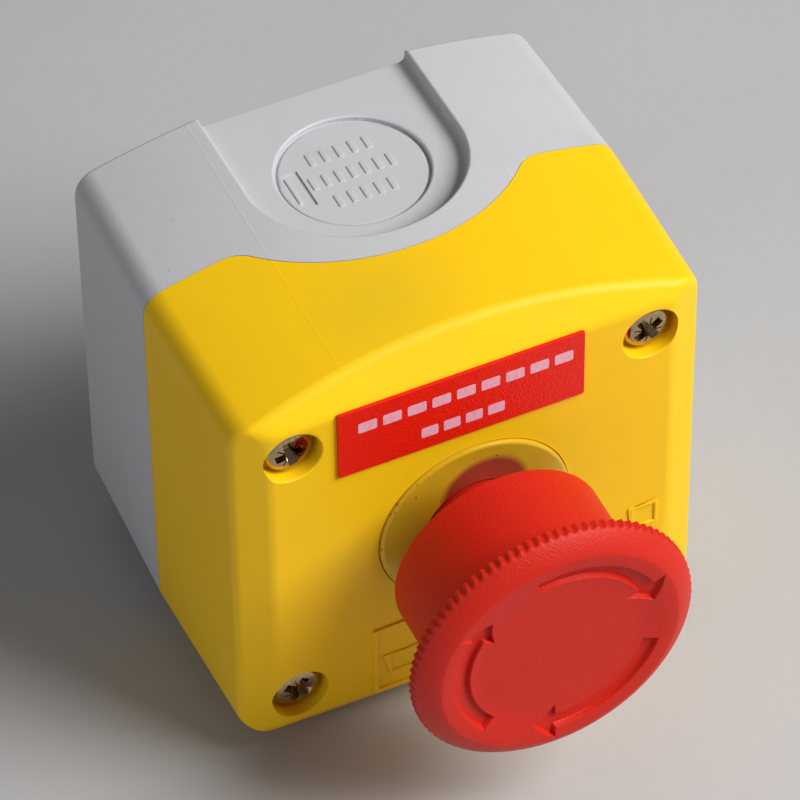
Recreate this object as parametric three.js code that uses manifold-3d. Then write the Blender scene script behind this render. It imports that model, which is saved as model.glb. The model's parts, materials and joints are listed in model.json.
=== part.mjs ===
// Emergency stop button in a surface-mounting control box.
//
// Every solid is modelled in the facing frame: x to the right and y up as the
// user sees the box, z out of the wall towards the user, with z = 0 on the
// rear mounting face. publish() turns that frame into the part's own frame,
// where +Z is up and the button points along -Y. Units are millimetres.

import * as THREE from 'three';
import { mergeVertices } from 'three/addons/utils/BufferGeometryUtils.js';
import Module from 'manifold-3d';

const wasm = await Module();
wasm.setup();

// ---------------------------------------------------------------- dimensions

// Box
const HALF_WIDTH = 34; // at the parting line, where the box is widest
const HALF_HEIGHT = 34.4; // at the middle of the crowned top and bottom
const CROWN_RISE = 4.9; // crown height over the full width
const EDGE_RADIUS = 4; // where a side wall turns into the crown
const BOX_DEPTH = 53.4;
const REAR_SHARE = 0.976; // drafted walls: section at the rear face over the widest one
const FRONT_SHARE = 0.983; // the same at the front face
const WALL = 2.6;
const FRONT_WALL = 3;

// Front face: flat bands that slope back from it
const BAND_START = 28.2; // height at which the top and bottom bands begin
const BAND_SLOPE = 1.47; // rise per millimetre of depth
const SIDE_BAND_START = 28.7;
const SIDE_BAND_DEPTH = 2.6;

// Parting line: straight on the side walls, an arc across top and bottom
const PARTING = 25.2;
const PARTING_APEX = 35.3;
const PARTING_ARC = 26;
const PARTING_FILLET = 5;
const PARTING_GAP = 0.1;
const GASKET_INSET = 0.9;
const GASKET_WIDTH = 0.8;
const GASKET_THICKNESS = 0.4;

// Cable entry in the top and bottom walls
const ENTRY_DEPTH = 16.4; // of the knockout's centre in front of the wall
const ENTRY_LEAN = THREE.MathUtils.degToRad(1.9); // along the drafted wall
const POCKET_RADIUS = 15.1;
const POCKET_FLOOR = 30.4; // at the rear face
const KNOCKOUT_RADIUS = 10.4;
const KNOCKOUT_FACE = 29.9;
const ENTRY_PAD = 28.2; // inner face of the thickened wall

// Wall fixing and cover screws
const FIXING_X = 19;
const FIXING_Y = 27;
const FIXING_RADIUS = 2.15;
const SCREW_X = 25.45;
const SCREW_Y = 23.2;
const SCREW_SHANK = 1.95;
const SCREW_HEAD = 3.3;
const SCREW_SEAT = 50.3;
const COUNTERBORE_RADIUS = 4.05;

// Legend plate
const LEGEND_WIDTH = 35;
const LEGEND_HEIGHT = 11.6;
const LEGEND_X = -1.9;
const LEGEND_Y = 22.8;
const LEGEND_THICKNESS = 0.5;

// Actuator head in its 22 mm hole
const HOLE_RADIUS = 11.15;
const THREAD_RADIUS = 10.95;
const BEZEL_RADIUS = 13.7;
const BEZEL_FACE = BOX_DEPTH + 0.6;
const BEZEL_SEAT = BOX_DEPTH - 1.6;
const STEM_RADIUS = 7;
const STEM_BORE = 6;
const STEM_BOSS = 5.9;
const RUNNING_GAP = 0.1;
const HEAD_REAR = 33.4;
const ROD_RADIUS = 5;

// Mushroom head
const SLEEVE_RADIUS = 14.95;
const SLEEVE_REAR = 60.5;
const RIM_REAR = 75.7;
const RIM_RADIUS = 20.1;
const KNURL_TEETH = 90;
const KNURL_DEPTH = 0.45;
const KNURL_LENGTH = 1.6;
const FACE = 78.7;
const CREST = 79.3;
const ARROW_COUNT = 3;
const ARROW_RADIUS = 13.8;
const ARROW_WIDTH = 2;
const ARROW_TIP = 14.5; // degrees, where the first arrow points
const ARROW_HEAD = 13; // degrees from the tip to the barbs
const ARROW_BARB = 2.75; // reach of the barbs each side of the shaft's middle
const ARROW_SPAN = 88;
const ARROW_DEPTH = 0.75;

// Travel
const PUSH_TRAVEL = 5;
const TWIST_TRAVEL = 45; // degrees, clockwise seen from the front

// Contact blocks
const BLOCK_INNER = 0.2; // side next to the middle of the box
const BLOCK_OUTER = 10.2;
const BLOCK_HALF_HEIGHT = 19;
const BLOCK_REAR = 4.5;
const BLOCK_FRONT = 20.5;
const BLOCK_WALL = 1.4;
const PLUNGER_X = 5.2;
const PLUNGER_TIP = 25.9;
const PLUNGER_REAR = 14;
const TERMINAL_Y = 14;
const TERMINAL_Z = 10;
const NC_CONTACT_Z = 17.3;
const NO_CONTACT_Z = 11.2;
const PLATE = 0.8; // thickness of the contact metal

// Sides of a round piece
const ROUND = 40;
const SMALL_ROUND = 20;
const TINY_ROUND = 12;

// ------------------------------------------------------------------- shaping

function signedVolume(vertices, triangles) {
  const a = new THREE.Vector3();
  const b = new THREE.Vector3();
  const c = new THREE.Vector3();
  let sum = 0;
  for (let i = 0; i < triangles.length; i += 3) {
    a.fromArray(vertices, 3 * triangles[i]);
    b.fromArray(vertices, 3 * triangles[i + 1]);
    c.fromArray(vertices, 3 * triangles[i + 2]);
    sum += a.dot(b.cross(c)) / 6;
  }
  return sum;
}

// A closed geometry as a solid, with its faces turned outwards.
function solid(geometry) {
  const bare = geometry.index ? geometry.toNonIndexed() : geometry.clone();
  bare.deleteAttribute('normal');
  bare.deleteAttribute('uv');
  const merged = mergeVertices(bare, 1e-4);
  const vertices = new Float32Array(merged.attributes.position.array);
  const triangles = [];
  for (let i = 0; i < merged.index.count; i += 3) {
    const [p, q, r] = merged.index.array.slice(i, i + 3);
    if (p !== q && q !== r && r !== p) {
      triangles.push(p, q, r);
    }
  }
  if (signedVolume(vertices, triangles) < 0) {
    triangles.reverse();
  }
  const mesh = new wasm.Mesh({
    numProp: 3,
    vertProperties: vertices,
    triVerts: new Uint32Array(triangles),
  });
  return new wasm.Manifold(mesh);
}

function join(...solids) {
  return solids.reduce((whole, next) => whole.add(next));
}

function cut(body, ...tools) {
  return tools.reduce((rest, tool) => rest.subtract(tool), body);
}

function extrude(shape, depth) {
  return new THREE.ExtrudeGeometry(shape, { depth, bevelEnabled: false, curveSegments: 6 });
}

// Prism over a shape, from depth z0 to depth z1.
function prism(shape, z0, z1) {
  const geometry = extrude(shape, z1 - z0);
  geometry.translate(0, 0, z0);
  return solid(geometry);
}

// Prism over a shape drawn in x and depth, from height y0 to height y1.
function uprightPrism(shape, y0, y1) {
  const geometry = extrude(shape, y1 - y0);
  geometry.rotateX(Math.PI / 2);
  geometry.translate(0, y1, 0);
  return solid(geometry);
}

// Solid through the same convex outline at several depths, scaled by share(z) at each.
function drafted(outline, depths, share) {
  const points = outline.getPoints();
  const size = points.length;
  const corners = depths.flatMap(
    (z) => points.map((point) => new THREE.Vector3(point.x * share(z), point.y * share(z), z)));
  const faces = [];
  for (let i = 0; i < size; i += 1) {
    const j = (i + 1) % size;
    for (let row = 0; row < (depths.length - 1) * size; row += size) {
      faces.push(row + i, row + j, row + size + j, row + i, row + size + j, row + size + i);
    }
    if (i > 0 && j > 0) {
      const last = (depths.length - 1) * size;
      faces.push(0, j, i, last, last + i, last + j);
    }
  }
  const geometry = new THREE.BufferGeometry().setFromPoints(corners);
  geometry.setIndex(faces);
  return solid(geometry);
}

function box(x0, x1, y0, y1, z0, z1) {
  const geometry = new THREE.BoxGeometry(x1 - x0, y1 - y0, z1 - z0);
  geometry.translate((x0 + x1) / 2, (y0 + y1) / 2, (z0 + z1) / 2);
  return solid(geometry);
}

// Solid of revolution about a line along z through (x, y). The profile is a
// list of [radius, z] and may start and end on the axis.
function turned(profile, sides = ROUND, x = 0, y = 0) {
  const points = profile.map(([radius, z]) => new THREE.Vector2(radius, z));
  points.push(points[0].clone());
  const geometry = new THREE.LatheGeometry(points, sides);
  geometry.rotateX(Math.PI / 2);
  geometry.translate(x, y, 0);
  return solid(geometry);
}

function cylinder(radius, z0, z1, sides = ROUND, x = 0, y = 0) {
  return turned([[0, z0], [radius, z0], [radius, z1], [0, z1]], sides, x, y);
}

function tube(outer, inner, z0, z1, sides = ROUND, x = 0, y = 0) {
  return turned([[inner, z0], [outer, z0], [outer, z1], [inner, z1]], sides, x, y);
}

function arcPoints(cx, cy, radius, from, to, steps) {
  const points = [];
  for (let i = 0; i <= steps; i += 1) {
    const angle = from + ((to - from) * i) / steps;
    points.push(new THREE.Vector2(cx + radius * Math.cos(angle), cy + radius * Math.sin(angle)));
  }
  return points;
}

function mirrored(points) {
  return points.map((point) => new THREE.Vector2(-point.x, point.y)).reverse();
}

function rectangle(x0, x1, y0, y1) {
  return new THREE.Shape([
    new THREE.Vector2(x0, y0),
    new THREE.Vector2(x1, y0),
    new THREE.Vector2(x1, y1),
    new THREE.Vector2(x0, y1),
  ]);
}

// Round wire wound along z, as a closed tube.
class Helix extends THREE.Curve {
  constructor(radius, z0, z1, turns) {
    super();
    Object.assign(this, { radius, z0, z1, turns });
  }

  getPoint(t) {
    const angle = 2 * Math.PI * this.turns * t;
    const z = this.z0 + (this.z1 - this.z0) * t;
    return new THREE.Vector3(this.radius * Math.cos(angle), this.radius * Math.sin(angle), z);
  }
}

function coil(radius, wire, z0, z1, turns, x = 0) {
  const section = new THREE.Shape();
  section.absarc(0, 0, wire, 0, 2 * Math.PI);
  const geometry = new THREE.ExtrudeGeometry(section, {
    extrudePath: new Helix(radius, z0 + wire, z1 - wire, turns),
    steps: Math.round(turns * 8),
    curveSegments: 3,
    bevelEnabled: false,
  });
  geometry.translate(x, 0, 0);
  return solid(geometry);
}

// --------------------------------------------------------------- publishing

const FACING_TO_PART = new THREE.Matrix4().set(1, 0, 0, 0, 0, 0, -1, 0, 0, 1, 0, 0, 0, 0, 0, 1);

const assembly = new THREE.Group();

function publish(name, body, material) {
  const mesh = body.getMesh();
  const geometry = new THREE.BufferGeometry();
  geometry.setAttribute('position', new THREE.BufferAttribute(new Float32Array(mesh.vertProperties), 3));
  geometry.setIndex(new THREE.BufferAttribute(new Uint32Array(mesh.triVerts), 1));
  geometry.applyMatrix4(FACING_TO_PART);
  geometry.computeVertexNormals();
  const node = new THREE.Mesh(geometry, new THREE.MeshStandardMaterial(material));
  node.name = name;
  assembly.add(node);
}

const YELLOW = { color: 0xf2bf1e, roughness: 0.45, metalness: 0 };
const GREY = { color: 0xb9bcc4, roughness: 0.5, metalness: 0 };
const RED = { color: 0xc3281a, roughness: 0.45, metalness: 0 };
const LEGEND_RED = { color: 0xd8200f, roughness: 0.5, metalness: 0 };
const OLIVE = { color: 0xb39a33, roughness: 0.3, metalness: 0 };
const ZINC = { color: 0xc9c6bd, roughness: 0.25, metalness: 1 };
const BRASS = { color: 0xb98f45, roughness: 0.35, metalness: 1 };
const SPRING_STEEL = { color: 0x9c9c9c, roughness: 0.3, metalness: 1 };
const RUBBER = { color: 0x1d1d1d, roughness: 0.8, metalness: 0 };
const BLACK = { color: 0x262626, roughness: 0.5, metalness: 0 };
const WHITE = { color: 0xdedbd2, roughness: 0.5, metalness: 0 };
const GREEN = { color: 0x2c8a45, roughness: 0.5, metalness: 0 };

// ---------------------------------------------------------------- enclosure

// Cross-section of the box: flat sides, crowned top and bottom, round edges.
function boxOutline(inset) {
  const crownRadius = (HALF_WIDTH ** 2 + CROWN_RISE ** 2) / (2 * CROWN_RISE);
  const crownCentre = HALF_HEIGHT - crownRadius;
  const edge = Math.max(EDGE_RADIUS - inset, 1);
  const edgeX = HALF_WIDTH - inset - edge;
  const reach = crownRadius - inset - edge;
  const edgeY = crownCentre + Math.sqrt(reach ** 2 - edgeX ** 2);
  const turn = Math.atan2(edgeY - crownCentre, edgeX);
  const corner = arcPoints(edgeX, edgeY, edge, 0, turn, 4);
  const crown = arcPoints(0, crownCentre, crownRadius - inset, turn, Math.PI / 2, 5).slice(1);
  const quarter = [...corner, ...crown];
  const top = [...quarter, ...mirrored(quarter).slice(1)];
  const bottom = top.map((point) => new THREE.Vector2(-point.x, -point.y));
  return new THREE.Shape([...top, ...bottom]);
}

// The walls lean in from the parting line towards the rear and the front.
function share(z) {
  if (z < PARTING) {
    return REAR_SHARE + (1 - REAR_SHARE) * (z / PARTING);
  }
  return 1 - (1 - FRONT_SHARE) * ((z - PARTING) / (BOX_DEPTH - PARTING));
}

function boxBody(inset, z0, z1) {
  return drafted(boxOutline(inset), [z0, PARTING, z1], share);
}

// Everything behind the front face and inside its sloping bands.
function insideFront(inset) {
  const reach = 60;
  const face = BOX_DEPTH - (inset > 0 ? FRONT_WALL : 0);
  const bandLength = Math.hypot(1, BAND_SLOPE);
  const bandInset = (inset * bandLength) / BAND_SLOPE;
  const bandY = BAND_START + (BOX_DEPTH - bandInset - face) * BAND_SLOPE;
  const slope = SIDE_BAND_DEPTH / (HALF_WIDTH - SIDE_BAND_START);
  const bandX = SIDE_BAND_START + (BOX_DEPTH - inset * Math.hypot(1, slope) - face) / slope;
  const profile = (start, rise) => {
    const half = [
      new THREE.Vector2(start, face),
      new THREE.Vector2(start + rise * face, 0),
      new THREE.Vector2(reach * 2, 0),
      new THREE.Vector2(reach * 2, -1),
    ];
    return new THREE.Shape([...mirrored(half), ...half]);
  };
  const sideways = uprightPrism(profile(bandX, 1 / slope), -reach, reach);
  const upAndDown = new THREE.ExtrudeGeometry(profile(bandY, BAND_SLOPE), {
    depth: 2 * reach,
    bevelEnabled: false,
  });
  upAndDown.translate(0, 0, -reach);
  upAndDown.applyMatrix4(new THREE.Matrix4().set(0, 0, 1, 0, 1, 0, 0, 0, 0, 1, 0, 0, 0, 0, 0, 1));
  return sideways.intersect(solid(upAndDown));
}

// The space in front of the parting surface, moved forward by an offset.
function beyondParting(offset) {
  const line = PARTING + offset;
  const centre = PARTING_APEX - PARTING_ARC;
  const arc = PARTING_ARC + offset;
  const fillet = PARTING_FILLET - offset;
  const filletZ = line + fillet;
  const filletX = Math.sqrt((arc + fillet) ** 2 - (filletZ - centre) ** 2);
  const lean = Math.atan2(filletZ - centre, filletX);
  const half = [
    ...arcPoints(0, centre, arc, Math.PI / 2, lean, 9),
    ...arcPoints(filletX, filletZ, fillet, lean + Math.PI, 1.5 * Math.PI, 4).slice(1),
    new THREE.Vector2(50, line),
    new THREE.Vector2(50, 70),
  ];
  return uprightPrism(new THREE.Shape([...mirrored(half), ...half.slice(1)]), -50, 50);
}

function pocketShape() {
  return new THREE.Shape([
    new THREE.Vector2(POCKET_RADIUS, -2),
    ...arcPoints(0, ENTRY_DEPTH, POCKET_RADIUS, 0, Math.PI, 14),
    new THREE.Vector2(-POCKET_RADIUS, -2),
  ]);
}

function disc(radius, y0, y1) {
  const rim = arcPoints(0, ENTRY_DEPTH, radius, 0, 2 * Math.PI, 24).slice(0, -1);
  return uprightPrism(new THREE.Shape(rim), y0, y1);
}

// What a cable entry takes away from the top wall, and what it leaves raised.
function entryCut() {
  const pocket = uprightPrism(pocketShape(), POCKET_FLOOR, HALF_HEIGHT + 3);
  const recess = disc(KNOCKOUT_RADIUS, KNOCKOUT_FACE, POCKET_FLOOR + 1);
  const groove = disc(KNOCKOUT_RADIUS, KNOCKOUT_FACE - 1, KNOCKOUT_FACE + 0.5)
    .subtract(disc(KNOCKOUT_RADIUS - 0.6, KNOCKOUT_FACE - 2, KNOCKOUT_FACE + 1));
  return leaned(join(pocket, recess, groove));
}

// Turns an entry feature so that it lies along the drafted wall.
function leaned(body) {
  return body
    .rotate([-THREE.MathUtils.radToDeg(ENTRY_LEAN), 0, 0])
    .translate([0, 0, POCKET_FLOOR * Math.sin(ENTRY_LEAN)]);
}

function entryMarks() {
  const rowPitch = 4.6;
  const halfLengths = [4.4, 6.2, 5];
  const marks = halfLengths.map((half, row) => {
    const z = ENTRY_DEPTH + (row - 1) * rowPitch;
    return box(-half, half, KNOCKOUT_FACE - 0.2, KNOCKOUT_FACE + 0.25, z - 0.9, z + 0.9);
  });
  return leaned(join(...marks));
}

function upsideDown(body) {
  return body.rotate([0, 0, 180]);
}

function atCorners(make) {
  const corners = [];
  for (const x of [-SCREW_X, SCREW_X]) {
    for (const y of [-SCREW_Y, SCREW_Y]) {
      corners.push(make(x, y));
    }
  }
  return corners;
}

function rearEnclosure() {
  const outside = boxBody(0, 0, 37);
  const pad = box(-18.2, 18.2, ENTRY_PAD, 40, 0, 40);
  const cavity = cut(boxBody(WALL, WALL, 40), pad, upsideDown(pad));
  const posts = atCorners((x, y) => cylinder(3.8, WALL - 0.5, PARTING - 0.2, SMALL_ROUND, x, y));
  const pilots = atCorners((x, y) => cylinder(SCREW_SHANK + 0.1, 11, 40, SMALL_ROUND, x, y));
  const fixings = [1, -1].flatMap((side) => [
    cylinder(FIXING_RADIUS, -1, 10, SMALL_ROUND, side * FIXING_X, side * FIXING_Y),
    cylinder(3.8, WALL, 40, SMALL_ROUND, side * FIXING_X, side * FIXING_Y)
      .subtract(box(-60, 60, -1, 60, 0, 60).rotate([0, 0, side > 0 ? 180 : 0])),
  ]);
  const entries = [entryCut(), upsideDown(entryCut())];
  const shell = cut(outside, cavity, ...entries);
  const marks = [entryMarks(), upsideDown(entryMarks())];
  return cut(join(shell, ...posts, ...marks), ...pilots, ...fixings, beyondParting(0));
}

// Low raised outline on the front face.
function ribOutline(x0, x1, y0, y1, line, height) {
  return box(x0, x1, y0, y1, BOX_DEPTH - 0.5, BOX_DEPTH + height)
    .subtract(box(x0 + line, x1 - line, y0 + line, y1 - line, BOX_DEPTH - 1, BOX_DEPTH + 1));
}

function frontCover() {
  const outside = boxBody(0, 20, BOX_DEPTH + 1).intersect(insideFront(0));
  const cavity = boxBody(WALL, 10, BOX_DEPTH).intersect(insideFront(WALL));
  const shell = outside.subtract(cavity);
  const bosses = atCorners((x, y) => cylinder(5.2, PARTING + 0.7, BOX_DEPTH - 2, SMALL_ROUND, x, y));
  const counterbores = atCorners((x, y) => cylinder(COUNTERBORE_RADIUS, SCREW_SEAT, 60, SMALL_ROUND, x, y));
  const screwHoles = atCorners((x, y) => cylinder(SCREW_SHANK + 0.3, 20, 60, SMALL_ROUND, x, y));
  const ribs = [
    ribOutline(-14.85, 14.85, -BAND_START, -15.6, 0.6, 0.3),
    ribOutline(-13, -5, -25.6, -21, 0.5, 0.15),
    ribOutline(23, 27.1, -13.7, -9.3, 0.5, 0.2),
  ];
  const gasketGroove = gasketStrip(GASKET_INSET - 0.1, GASKET_WIDTH + 0.2)
    .subtract(beyondParting(GASKET_THICKNESS + 0.15));
  const pierced = cut(
    join(shell, ...bosses.map((boss) => boss.intersect(outside))),
    ...counterbores,
    ...screwHoles,
    cylinder(HOLE_RADIUS, 40, 60),
    cylinder(BEZEL_RADIUS + 0.2, BEZEL_SEAT, 60),
    gasketGroove);
  return join(pierced, ...ribs).intersect(beyondParting(PARTING_GAP));
}

function gasketStrip(inset, width) {
  return boxBody(inset, 20, 37).subtract(boxBody(inset + width, 19, 38));
}

function coverGasket() {
  return gasketStrip(GASKET_INSET, GASKET_WIDTH)
    .intersect(beyondParting(0.05))
    .subtract(beyondParting(0.05 + GASKET_THICKNESS));
}

// Cross-recess pan head screw, with its head towards the user.
function coverScrew(x, y) {
  const seat = SCREW_SEAT + 0.02;
  const blank = turned([
    [0, 13], [SCREW_SHANK, 14.5], [SCREW_SHANK, seat], [SCREW_HEAD, seat],
    [SCREW_HEAD, seat + 1.1], [2.8, seat + 2.1], [0, seat + 2.5],
  ], SMALL_ROUND, x, y);
  const slots = [0, 90].map((turn) => box(-2.1, 2.1, -0.45, 0.45, seat + 1, seat + 4)
    .rotate([0, 0, turn + 20])
    .translate([x, y, 0]));
  return cut(blank, ...slots);
}

function legendPlate() {
  const halfWidth = LEGEND_WIDTH / 2;
  const halfHeight = LEGEND_HEIGHT / 2;
  const shape = rectangle(
    LEGEND_X - halfWidth, LEGEND_X + halfWidth, LEGEND_Y - halfHeight, LEGEND_Y + halfHeight);
  return prism(shape, BOX_DEPTH + 0.02, BOX_DEPTH + LEGEND_THICKNESS);
}

publish('rear_enclosure', rearEnclosure(), GREY);
publish('front_cover', frontCover(), YELLOW);
publish('cover_gasket', coverGasket(), RUBBER);
publish('cover_screw_top_left', coverScrew(-SCREW_X, SCREW_Y), ZINC);
publish('cover_screw_top_right', coverScrew(SCREW_X, SCREW_Y), ZINC);
publish('cover_screw_bottom_left', coverScrew(-SCREW_X, -SCREW_Y), ZINC);
publish('cover_screw_bottom_right', coverScrew(SCREW_X, -SCREW_Y), ZINC);
publish('legend_plate', legendPlate(), LEGEND_RED);

// ------------------------------------------------------------ actuator head

const BORE = STEM_RADIUS + RUNNING_GAP;
const SPRING_SEAT = HEAD_REAR + 2.2;
const FLANGE_REAR = 44.4;
const FLANGE_FRONT = 47;
const STEM_REAR = 47.1;
const STEM_FRONT = RIM_REAR - 1.8;
const STEM_HUB = RIM_REAR + 1.2;
const SPRING_CAP = RIM_REAR - 5.2;
const LUG_Z = 47.6;
const LUG_LENGTH = 1.6;
const LUG_HALF_ANGLE = 8;
const LUG_REACH = 0.85;

// Sector of a ring between two angles in degrees.
function sector(outer, inner, from, to, z0, z1) {
  const start = THREE.MathUtils.degToRad(from);
  const end = THREE.MathUtils.degToRad(to);
  const steps = Math.ceil((to - from) / 8);
  const rim = arcPoints(0, 0, outer, start, end, steps);
  const hub = arcPoints(0, 0, inner, end, start, steps);
  return prism(new THREE.Shape([...rim, ...hub]), z0, z1);
}

function bezelRing() {
  return turned([
    [BORE + 0.15, BEZEL_FACE - 0.55], [BORE + 0.15, BEZEL_FACE], [BEZEL_RADIUS - 0.2, BEZEL_FACE],
    [BEZEL_RADIUS, BEZEL_FACE - 0.2], [BEZEL_RADIUS, BEZEL_SEAT + 0.45], [10.7, BEZEL_SEAT + 0.45],
    [10.7, BEZEL_FACE - 0.55],
  ]);
}

function headBody() {
  const blank = turned([
    [ROD_RADIUS + RUNNING_GAP, HEAD_REAR], [THREAD_RADIUS, HEAD_REAR], [THREAD_RADIUS, BEZEL_SEAT + 0.4],
    [10.6, BEZEL_SEAT + 0.4], [10.6, BOX_DEPTH], [BORE, BOX_DEPTH], [BORE, SPRING_SEAT],
    [ROD_RADIUS + RUNNING_GAP, SPRING_SEAT],
  ]);
  // The lugs run in these windows, which stop the push and the twist.
  const windows = [90, 270].map((angle) => sector(
    BORE + LUG_REACH + 0.15, BORE - 1,
    angle - LUG_HALF_ANGLE - 2 - TWIST_TRAVEL, angle + LUG_HALF_ANGLE + 2,
    LUG_Z - PUSH_TRAVEL - 0.2, LUG_Z + LUG_LENGTH + 0.1));
  return cut(blank, ...windows);
}

function panelNut() {
  const corner = 14 / Math.cos(Math.PI / 6);
  const flats = new THREE.Shape(arcPoints(0, 0, corner, Math.PI / 6, 2.5 * Math.PI, 7).slice(0, 6));
  const wall = BOX_DEPTH - FRONT_WALL;
  return prism(flats, wall - 3.8, wall - 0.05).subtract(cylinder(THREAD_RADIUS + 0.1, 40, 60));
}

function plungerStem() {
  const blank = turned([
    [STEM_BORE, STEM_REAR], [STEM_RADIUS, STEM_REAR], [STEM_RADIUS, STEM_FRONT], [STEM_BOSS, STEM_FRONT],
    [STEM_BOSS, STEM_HUB], [0, STEM_HUB], [0, SPRING_CAP], [STEM_BORE, SPRING_CAP],
  ]);
  const lugs = [90, 270].map((angle) => sector(
    STEM_RADIUS + LUG_REACH, STEM_RADIUS - 0.6,
    angle - LUG_HALF_ANGLE, angle + LUG_HALF_ANGLE, LUG_Z, LUG_Z + LUG_LENGTH));
  return join(blank, ...lugs);
}

// Arrow that curves clockwise about the axis, to be sunk into the face.
function arrow(tipDegrees) {
  const tip = THREE.MathUtils.degToRad(tipDegrees);
  const neck = tip + THREE.MathUtils.degToRad(ARROW_HEAD);
  const tail = tip + THREE.MathUtils.degToRad(ARROW_SPAN);
  const polar = (radius, angle) => new THREE.Vector2(radius * Math.cos(angle), radius * Math.sin(angle));
  const outer = ARROW_RADIUS + ARROW_WIDTH / 2;
  const inner = ARROW_RADIUS - ARROW_WIDTH / 2;
  const shape = new THREE.Shape([
    polar(ARROW_RADIUS, tip),
    polar(ARROW_RADIUS + ARROW_BARB, neck),
    ...arcPoints(0, 0, outer, neck, tail, 8),
    ...arcPoints(0, 0, inner, tail, neck, 8),
    polar(ARROW_RADIUS - ARROW_BARB, neck),
  ]);
  return prism(shape, FACE - ARROW_DEPTH, CREST + 1);
}

function knurlShape() {
  const pitch = (2 * Math.PI) / KNURL_TEETH;
  const crest = RIM_RADIUS - 0.1;
  const points = [];
  for (let tooth = 0; tooth < KNURL_TEETH; tooth += 1) {
    const start = tooth * pitch;
    points.push(new THREE.Vector2(crest * Math.cos(start), crest * Math.sin(start)));
    const root = start + pitch / 2;
    points.push(new THREE.Vector2(
      (crest - KNURL_DEPTH) * Math.cos(root), (crest - KNURL_DEPTH) * Math.sin(root)));
  }
  return new THREE.Shape(points);
}

function mushroomCap() {
  const knurlFront = RIM_REAR + KNURL_LENGTH;
  const sleeve = tube(SLEEVE_RADIUS, SLEEVE_RADIUS - 1.65, SLEEVE_REAR, RIM_REAR - 1.2);
  const neck = cylinder(SLEEVE_RADIUS, STEM_FRONT + 0.1, RIM_REAR + 0.5);
  const knurl = prism(knurlShape(), RIM_REAR, knurlFront);
  const dome = turned([
    [0, knurlFront - 0.5], [18, knurlFront - 0.5], [18, knurlFront], [RIM_RADIUS, knurlFront],
    [RIM_RADIUS - 0.5, knurlFront + 0.5], [RIM_RADIUS - 1.4, knurlFront + 1.2],
    [RIM_RADIUS - 3.2, CREST], [RIM_RADIUS - 5, CREST - 0.15], [ARROW_RADIUS - 3.1, FACE], [0, FACE],
  ]);
  const arrows = [];
  for (let i = 0; i < ARROW_COUNT; i += 1) {
    arrows.push(arrow(ARROW_TIP + (360 / ARROW_COUNT) * i));
  }
  return cut(join(sleeve, neck, knurl, dome), ...arrows, cylinder(STEM_BOSS + 0.1, 70, STEM_HUB + 0.2, SMALL_ROUND));
}

function pusherRod() {
  return turned([
    [0, 26.1], [3, 26.1], [3, 28.6], [ROD_RADIUS, 28.6], [ROD_RADIUS, FLANGE_REAR],
    [STEM_RADIUS - 0.1, FLANGE_REAR], [STEM_RADIUS - 0.1, FLANGE_FRONT], [0, FLANGE_FRONT],
  ]);
}

publish('bezel_ring', bezelRing(), OLIVE);
publish('head_gasket', tube(13.5, 11.3, BEZEL_SEAT + 0.03, BEZEL_SEAT + 0.42, SMALL_ROUND), RUBBER);
publish('head_body', headBody(), BLACK);
publish('panel_nut', panelNut(), BLACK);
publish('mushroom_cap', mushroomCap(), RED);
publish('plunger_stem', plungerStem(), RED);
publish('twist_spring', coil(5.35, 0.4, FLANGE_FRONT + 0.1, SPRING_CAP - 0.1, 5), SPRING_STEEL);
publish('pusher_rod', pusherRod(), WHITE);
publish('pusher_foot', tube(9.2, 3.1, 26, 28.5, SMALL_ROUND), WHITE);
publish('return_spring', coil(6.1, 0.45, SPRING_SEAT + 0.05, FLANGE_REAR - 0.05, 3), SPRING_STEEL);

// ----------------------------------------------------------- contact blocks

const CARRIER_REAR = 20.8;
const CARRIER_SCREW_X = 16.8;
const HOOK_Y = 15.5;

function contactCarrier() {
  const plate = join(
    box(-12, 12, -21, 21, CARRIER_REAR, 24.8),
    box(-20, 20, -5, 5, CARRIER_REAR, 24.8));
  const collar = cylinder(14.2, 24, 41);
  const hooks = [1, -1].flatMap((x) => [1, -1].map((y) => box(
    x * PLUNGER_X - 2, x * PLUNGER_X + 2, y * HOOK_Y - 0.8, y * HOOK_Y + 0.8, 20, 23.1)));
  const screwHoles = [1, -1].map((side) => cylinder(1.6, 10, 40, TINY_ROUND, side * CARRIER_SCREW_X, 0));
  return cut(
    join(plate, collar),
    cylinder(9.8, 10, HEAD_REAR),
    cylinder(THREAD_RADIUS + 0.1, HEAD_REAR - 0.5, 50),
    ...hooks,
    ...screwHoles);
}

function carrierScrew(side) {
  const x = side * CARRIER_SCREW_X;
  const blank = turned([
    [0, 18.2], [2.6, 18.2], [2.6, 20.7], [1.5, 20.7], [1.5, 49.9], [0.8, 50.3], [0, 50.3],
  ], TINY_ROUND, x);
  return blank.subtract(box(x - 3, x + 3, -0.35, 0.35, 17, 19));
}

// x range of a block piece on the given side of the middle (-1 or 1).
function blockBox(side, near, far, y0, y1, z0, z1) {
  const xs = [side * near, side * far].sort((a, b) => a - b);
  return box(xs[0], xs[1], y0, y1, z0, z1);
}

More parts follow.
